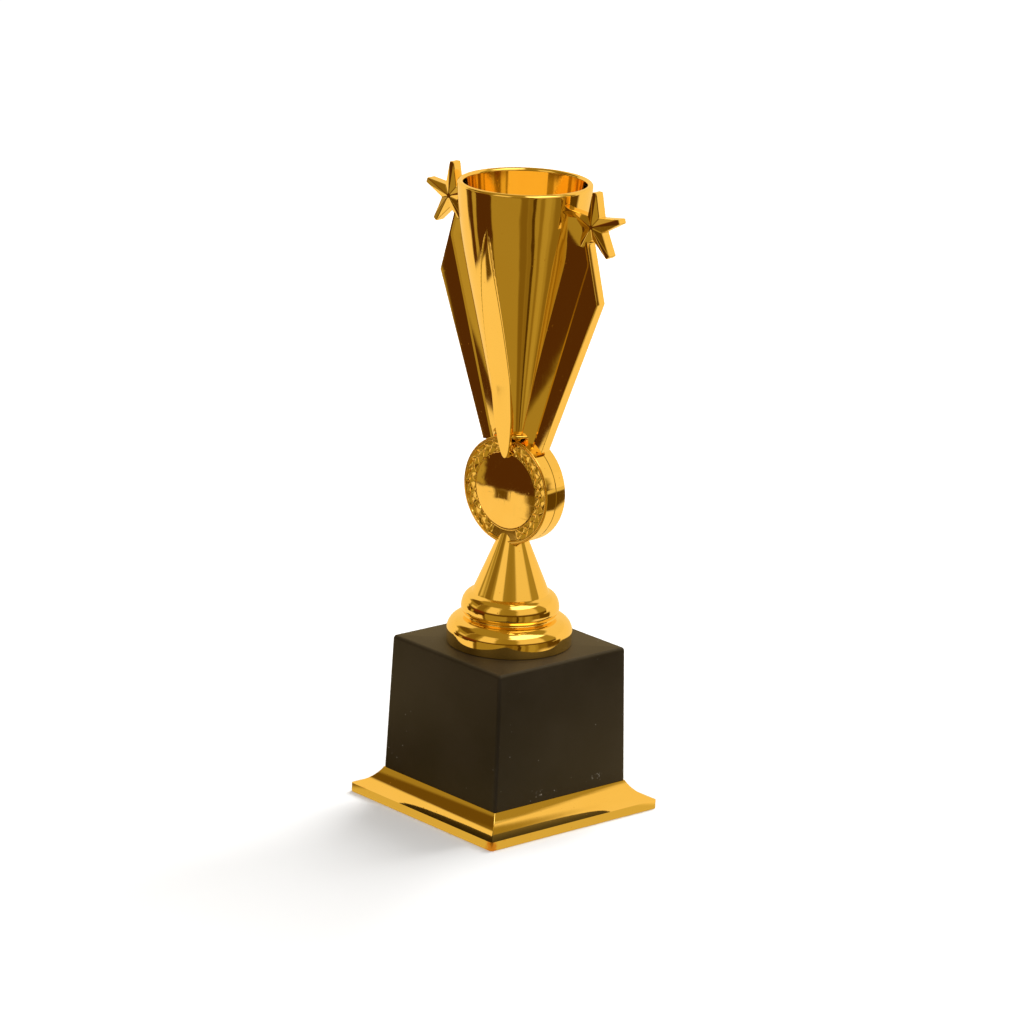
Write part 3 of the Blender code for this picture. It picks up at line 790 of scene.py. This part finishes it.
seat_radius = 8.2
seat_neck = 4.9
seat_under = cup_foot - 1.0
neck_foot = 74.0
seat_profile = outline(
    (rod_hole, cup_foot, 0.1),
    (seat_radius, cup_foot, 0.35),
    (seat_radius, seat_under, 0.35),
    (seat_neck, seat_under, 0.3),
    (seat_neck, neck_foot, 0.0),
    (rod_hole, neck_foot, 0.0),
)
seat_points = flattened(turned(seat_profile, 288), 0.5, 0.4)
seat = skinned("cup_seat_gilt", on_column(seat_points), rows_close=True)

for piece, node in ((cup, "cup"), (seat, "cup_seat")):
    piece.data.materials.append(gilt_column)
    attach(piece, "column")
    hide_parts(node)

# ---------------------------------------------------------------------------------------------------
# Straps: one flat gilt rib at the front and one at the rear. Each stands clear of the cup's narrow
# foot, hangs a rounded tip over the medal's face, and lies flush in its flat further up the cup.

tip_rows = STRAP_TIP + (STRAP_BEND - STRAP_TIP) * np.linspace(0.02, 1.0, 40) ** 2
strap_rows = np.concatenate([tip_rows, np.linspace(STRAP_BEND, STRAP_END - 0.4, 110)[1:]])
strap_width = strap_half_width(strap_rows)
strap_thick = 1.2
strap_front = strap_face(strap_rows) + 0.05
strap_rear = np.maximum(medal_half - 0.15, strap_front - strap_thick)
strap_across = np.stack([strap_width, strap_width, -strap_width, -strap_width], axis=1)
strap_depth = np.stack([strap_rear, strap_front, strap_front, strap_rear], axis=1)
strap_corners = np.stack([strap_across, strap_depth], axis=-1)
strap_edge = np.minimum(0.22, 0.4 * strap_width)[:, None] * np.array([0.1, 1.0, 1.0, 0.1])
strap_section = filleted(strap_corners, strap_edge)
strap_heights = np.broadcast_to(strap_rows[:, None], strap_section.shape[:2])
for side, facing in (("front", -1.0), ("rear", 1.0)):
    across = -facing * (strap_section[..., 0] + strap_drift(strap_heights))
    sweep = np.stack([across, facing * strap_section[..., 1], strap_heights], axis=-1)
    strap = skinned(side + "_rib_gilt", on_column(capped(sweep)))
    strap.data.materials.append(gilt_column)
    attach(strap, "column")
    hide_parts(side + "_rib")

# ---------------------------------------------------------------------------------------------------
# Fins and stars: a flat gilt fin on each side of the cup, thicker from a crease inwards, and a
# five-pointed star with ridged arms let into its top. Both are moulded, with slightly soft edges.

star_height = 158.6
star_x = 33.05
star_radius = 12.2
star_notch = 4.4
star_tip_half = 0.9
star_wall = 1.9
star_apex = 3.1
fin_half = 2.2
fin_root_half = 3.4
fin_toe = (13.75, 73.4)
fin_kink = (36.55, 131.25)
fin_return = 0.26
fin_top = 160.8
crease_foot = (10.2, 76.2)
crease_slope = 0.315
crease_to_edge = 1.2
fin_foot_root = 8.0
fin_bite = 0.6
seat_level = cup_foot + 0.2


def star_rings(side):
    """Front apex, front outline, rear outline and rear apex of a star; a blunt tip has two points."""
    arm = np.pi / 2.0 + 2.0 * np.pi * np.arange(5) / 5.0
    half_step = np.pi / 5.0
    tips = []
    for across in (-star_tip_half, star_tip_half):
        x = star_radius * np.cos(arm) - across * np.sin(arm)
        tips.append(np.stack([x, star_radius * np.sin(arm) + across * np.cos(arm)], axis=-1))
    notch = star_notch * np.stack([np.cos(arm + half_step), np.sin(arm + half_step)], axis=-1)
    plan = np.stack([*tips, notch], axis=1).reshape(-1, 2)
    rings = []
    for depth, share in ((-star_apex, 0.0), (-star_wall, 1.0), (star_wall, 1.0), (star_apex, 0.0)):
        x, z = (share * plan).T
        rings.append(np.column_stack([side * star_x + x, depth + 0.0 * x, star_height + z]))
    return np.stack(rings)


def fin_rings(side):
    """Sections of a fin from toe to top: root, a small step at the crease, and outer edge on both faces."""
    height = np.concatenate(
        [
            [fin_toe[1]],
            np.linspace(fin_toe[1] + 1.0, seat_level, 6),
            np.linspace(seat_level + 0.01, fin_kink[1], 40),
            np.linspace(fin_kink[1], fin_top, 24)[1:],
        ]
    )
    lean = (fin_kink[0] - fin_toe[0]) / (fin_kink[1] - fin_toe[1])
    below_kink = fin_toe[0] + lean * (height - fin_toe[1])
    above_kink = fin_kink[0] - fin_return * (height - fin_kink[1])
    outer = np.where(height < fin_kink[1], below_kink, above_kink)
    crease = crease_foot[0] + crease_slope * (height - crease_foot[1])
    crease = np.minimum(crease, outer - crease_to_edge)
    root = np.where(height < seat_level, fin_foot_root, cup_radius(height) - fin_bite)
    root = np.minimum(root, crease - 0.3)
    swell = (crease - root) / (crease - np.minimum(cup_radius(height), crease - 0.2))
    root_half = np.minimum(fin_half + (fin_root_half - fin_half) * swell, fin_root_half + 0.1)
    step = np.minimum(0.4, 0.25 * (crease - root))
    across = np.stack([root, crease - step, crease + step, outer], axis=1)
    across = np.concatenate([across, across[:, ::-1]], axis=1)
    flat = np.full_like(root, fin_half)
    thick = np.stack([root_half, fin_half - 0.7 * step, flat, flat], axis=1)
    thick = np.concatenate([thick, -thick[:, ::-1]], axis=1)
    soft = np.array([0.05, 0.06, 0.06, 0.2, 0.2, 0.06, 0.06, 0.05])
    section = filleted(np.stack([across, thick], axis=-1), soft)
    heights = np.broadcast_to(height[:, None], section.shape[:2])
    return np.stack([side * section[..., 0], section[..., 1], heights], axis=-1)


def cut_away(piece, tool):
    """Takes the tool's shape out of the piece for good, and removes the tool."""
    boolean = piece.modifiers.new("cut", "BOOLEAN")
    boolean.operation = "DIFFERENCE"
    boolean.solver = "EXACT"
    boolean.object = tool
    graph = bpy.context.evaluated_depsgraph_get()
    left = bpy.data.meshes.new_from_object(piece.evaluated_get(graph))
    piece.modifiers.clear()
    piece.data = left
    bpy.data.objects.remove(tool)
    left.set_sharp_from_angle(angle=math.radians(32.0))


for label, side in (("left", -1.0), ("right", 1.0)):
    fin = skinned(label + "_fin_gilt", on_column(capped(fin_rings(side))))
    cut_away(fin, skinned(label + "_star_bed", on_column(star_rings(side))))
    star = skinned(label + "_star_gilt", on_column(star_rings(side)), crease=180.0)
    bevel = star.modifiers.new("soft_edges", "BEVEL")
    bevel.width = 0.24 * MM
    bevel.segments = 3
    bevel.angle_limit = math.radians(8.0)
    bevel.harden_normals = True
    for piece, node in ((fin, label + "_fin"), (star, label + "_star")):
        piece.data.materials.append(gilt_column)
        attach(piece, "column")
        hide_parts(node)

# ---------------------------------------------------------------------------------------------------
# Studio: a pale floor, a soft key behind the trophy that throws its shadow forward, and a weaker light
# overhead. The gold mirrors a warm room of painted light and shade, seen only in reflections: banded walls,
# a bright backdrop, a lit box and a striped floor painted on a glowing card under the floor.


def towards(x, y, bearing, half_width, soft=8.0):
    """1 inside a sector of bearings, in degrees round from the front, and 0 outside it."""
    middle = math.radians(bearing)
    length = (x * x + y * y + 1e-9) ** 0.5
    cosine = (x * math.sin(middle) - y * math.cos(middle)) / length
    outside = math.cos(math.radians(half_width + soft))
    inside = math.cos(math.radians(max(half_width - soft, 0.0)))
    return cosine.step(outside, inside)


def elevated(z, low, high):
    """0 below the elevation low and 1 above high, both in degrees; low may be the larger."""
    return z.step(math.sin(math.radians(low)), math.sin(math.radians(high)))


def warm(tone):
    """Colour of the room at a brightness: green falls off faster than red, and blue faster still."""
    dim = max(1.0 - tone, 0.0)
    return (tone, tone * (0.71 - 0.38 * dim**4), 0.3 * tone * tone, 1.0)


def unsettled(bench, place, x, y, amount, scale):
    """x and y pushed about by noise, so that what is mirrored has no ruled edges."""
    push = bench.axes(bench.node("TexNoise", {}, {"Vector": place, "Scale": scale, "Detail": 2.0}, "Color"))
    return x + (push[0] - 0.5) * amount, y + (push[1] - 0.5) * amount


# Upright bands on the walls: a bearing, a half width, a brightness and the softness of the edges.
WALL_BANDS = (
    (-47.0, 10.0, 0.82, 3.0),
    (-25.0, 9.0, 0.24, 3.0),
    (7.0, 15.0, 0.95, 4.0),
    (45.0, 9.0, 0.33, 7.0),
    (92.0, 25.0, 0.92, 5.0),
    (131.0, 10.0, 0.40, 4.0),
)
world = bpy.data.worlds.new("studio")
bpy.context.scene.world = world
world.use_nodes = True
air = Bench(world.node_tree)
place = air.node("TexCoord", {}, {}, "Generated")
x, y, z = air.axes(place)
x, y = unsettled(air, place, x, y, 0.16, 5.0)
room = air.blend(towards(x, y, -30.0, 14.0), warm(0.12), (0.16, 0.030, 0.006, 1.0))
walls = warm(0.36)
for bearing, half_width, tone, soft in WALL_BANDS:
    walls = air.blend(towards(x, y, bearing, half_width, soft), walls, warm(tone))
front_left = towards(x, y, -62.0, 24.0, 3.0) * elevated(z, 15.0, 19.0)
low_back = towards(x, y, -141.0, 75.0, 2.0) * elevated(z, 25.0, 21.0)
back = towards(x, y, -149.0, 67.0, 4.0) * elevated(z, 54.0, 49.0) * elevated(z, 18.0, 22.0)
lit_box = towards(x, y, 95.0, 42.0) * elevated(z, 43.0, 48.0) * elevated(z, 80.0, 74.0)
surfaces = (
    (elevated(z, 6.0, 11.0), walls),
    (front_left, warm(0.37)),
    (front_left * elevated(z, 26.0, 32.0), warm(0.15)),
    (elevated(z, 44.0, 52.0), warm(0.36)),
    (low_back, warm(1.0)),
    (back, warm(0.96)),
    (lit_box, (2.6, 2.2, 1.3, 1.0)),
)
for mask, colour in surfaces:
    room = air.blend(mask, room, colour)
# Diffuse surfaces see an even grey-white room, and the camera sees plain white.
fill = air.blend(air.node("LightPath", {}, {}, "Is Glossy Ray"), (0.50, 0.49, 0.47, 1.0), room)
seen = air.blend(air.node("LightPath", {}, {}, "Is Camera Ray"), fill, (1.0, 1.0, 1.0, 1.0))
air.feed(world.node_tree.nodes["Background"].inputs["Color"], seen)


def plane(name, half, height):
    """Level square card of one face, centred on the trophy, with its sizes in metres."""
    corners = [(-half, -half, height), (half, -half, height), (-half, half, height), (half, half, height)]
    mesh = bpy.data.meshes.new(name)
    mesh.from_pydata(corners, [], [(0, 1, 3, 2)])
    card = bpy.data.objects.new(name, mesh)
    bpy.context.scene.collection.objects.link(card)
    return card


floor_half = 12.0
floor = plane("floor", floor_half, 0.0)
floor_paint, _, floor_shader = finish_named("floor_paint", Roughness=1.0, Specular_IOR_Level=0.0)
floor_shader.inputs["Base Color"].default_value = (0.90, 0.90, 0.90, 1.0)
floor.data.materials.append(floor_paint)
floor.visible_glossy = False

# Painted reflection: a glowing card just under the floor, seen only in the gold and painted with the floor it
# mirrors: bright behind the trophy and to its left, with bars of shade to the right, a painted shadow of the
# trophy close in front and to its left, and a painted dark streak further out in front. Each bar is a
# bearing, a half width, a brightness and the softness of the edges.
FLOOR_BARS = (
    (-15.5, 4.5, 0.17, 1.5),
    (50.0, 7.0, 0.21, 3.0),
    (61.0, 3.0, 0.25, 1.5),
    (67.0, 2.5, 0.08, 1.0),
    (80.0, 2.5, 0.27, 1.5),
    (90.0, 5.0, 0.46, 2.0),
    (111.0, 9.0, 0.25, 3.0),
    (137.0, 17.0, 0.11, 3.0),
)
reflection_card = plane("painted_floor_reflection", floor_half, -0.0005)
reflection_card_paint = bpy.data.materials.new("painted_floor_reflection")
reflection_card_paint.use_nodes = True
reflection_card_paint.node_tree.nodes.clear()
glow = Bench(reflection_card_paint.node_tree)
place = glow.place()
x, y, z = glow.axes(place)
far = (x * x + y * y) ** 0.5
x, y = unsettled(glow, place, x, y, far * 0.15, 7.0)
rough = far + (glow.cloud(place, 9.0) - 0.5) * 0.14 * far
tone = warm(0.39)
for bearing, half_width, shade, soft in FLOOR_BARS:
    tone = glow.blend(towards(x, y, bearing, half_width, soft), tone, warm(shade))
# Where the painted dark streak in front of the trophy ends on the mirrored floor.
dark_end = far.step(0.330, 0.345) * rough.step(0.46, 0.42)
# Patches of painted light and shade on the mirrored floor.
patches = (
    (towards(x, y, 145.0, 10.0, 3.0) * rough.step(1.0, 1.6), warm(0.8)),
    (towards(x, y, -44.5, 26.5, 2.0), warm(1.0)),
    (towards(x, y, -38.0, 27.0, 2.0) * rough.step(0.415, 0.445), (0.085, 0.028, 0.004, 1.0)),
    (towards(x, y, -67.0, 4.0, 2.0) * rough.step(0.56, 0.62), warm(0.12)),
    (towards(x, y, -48.5, 4.5, 1.5) * rough.step(0.43, 0.46), warm(0.46)),
    # painted dark streak in the mirrored floor, in front of the trophy
    (towards(x, y, -33.0, 5.0, 1.5) * dark_end, warm(0.13)),
    (towards(x, y, -138.0, 69.0, 2.5), warm(1.0)),
    (towards(x, y, 150.0, 45.0) * rough.step(0.22, 0.19), warm(1.0)),
    # painted shadow of the trophy on the mirrored floor, close in front and to its left
    (towards(x, y, -40.0, 30.0) * far.step(0.14, 0.10), warm(0.26)),
    (far.step(0.064, 0.058), warm(0.70)),
)
for mask, colour in patches:
    tone = glow.blend(mask, tone, colour)
emission = glow.node("Emission", {}, {"Color": tone})
output = reflection_card_paint.node_tree.nodes.new("ShaderNodeOutputMaterial")
glow.feed(output.inputs["Surface"], emission)
reflection_card.data.materials.append(reflection_card_paint)
reflection_card.visible_camera = False
reflection_card.visible_diffuse = False
reflection_card.visible_shadow = False


def from_axis(bearing, elevation):
    """Direction away from the trophy, from a bearing round from the front and an elevation, in degrees."""
    around, up = math.radians(bearing), math.radians(elevation)
    return Vector((math.sin(around) * math.cos(up), -math.cos(around) * math.cos(up), math.sin(up)))


def lamp(name, bearing, elevation, distance, size, power):
    """Square soft light that looks at the trophy's middle; the gold doesn't mirror it."""
    light = bpy.data.lights.new(name, "AREA")
    light.size = size
    light.energy = power
    obj = bpy.data.objects.new(name, light)
    bpy.context.scene.collection.objects.link(obj)
    away = from_axis(bearing, elevation)
    obj.location = away * distance + Vector((0.0, 0.0, 0.1))
    obj.rotation_euler = away.to_track_quat("Z", "Y").to_euler()
    obj.visible_glossy = False


lamp("key", -167.0, 50.0, 2.0, 1.2, 42.0)
lamp("overhead", 60.0, 70.0, 2.2, 1.4, 14.0)

# Camera: a long lens from the front right, a little above, with a slight roll.
CAMERA_BEARING = 48.697
CAMERA_ELEVATION = 16.173
CAMERA_ROLL = 2.052
CAMERA_DISTANCE = 1.75417
CAMERA_AIM = 0.1088
CAMERA_SHIFT = (-0.000544, 0.00006)
camera_data = bpy.data.cameras.new("camera")
camera_data.lens = 172.685
camera_data.clip_start = 0.05
camera_data.clip_end = 60.0
camera = bpy.data.objects.new("camera", camera_data)
bpy.context.scene.collection.objects.link(camera)
backward = from_axis(CAMERA_BEARING, CAMERA_ELEVATION)
rightward = from_axis(CAMERA_BEARING + 90.0, 0.0)
upward = backward.cross(rightward)
roll = math.radians(CAMERA_ROLL)
right = rightward * math.cos(roll) + upward * math.sin(roll)
up = upward * math.cos(roll) - rightward * math.sin(roll)
aim = Vector((0.0, 0.0, CAMERA_AIM)) + right * CAMERA_SHIFT[0] + up * CAMERA_SHIFT[1]
turn = Matrix((right, up, backward)).transposed().to_4x4()
camera.matrix_world = Matrix.Translation(aim + backward * CAMERA_DISTANCE) @ turn
bpy.context.scene.camera = camera
bpy.context.scene.view_settings.view_transform = "Standard"
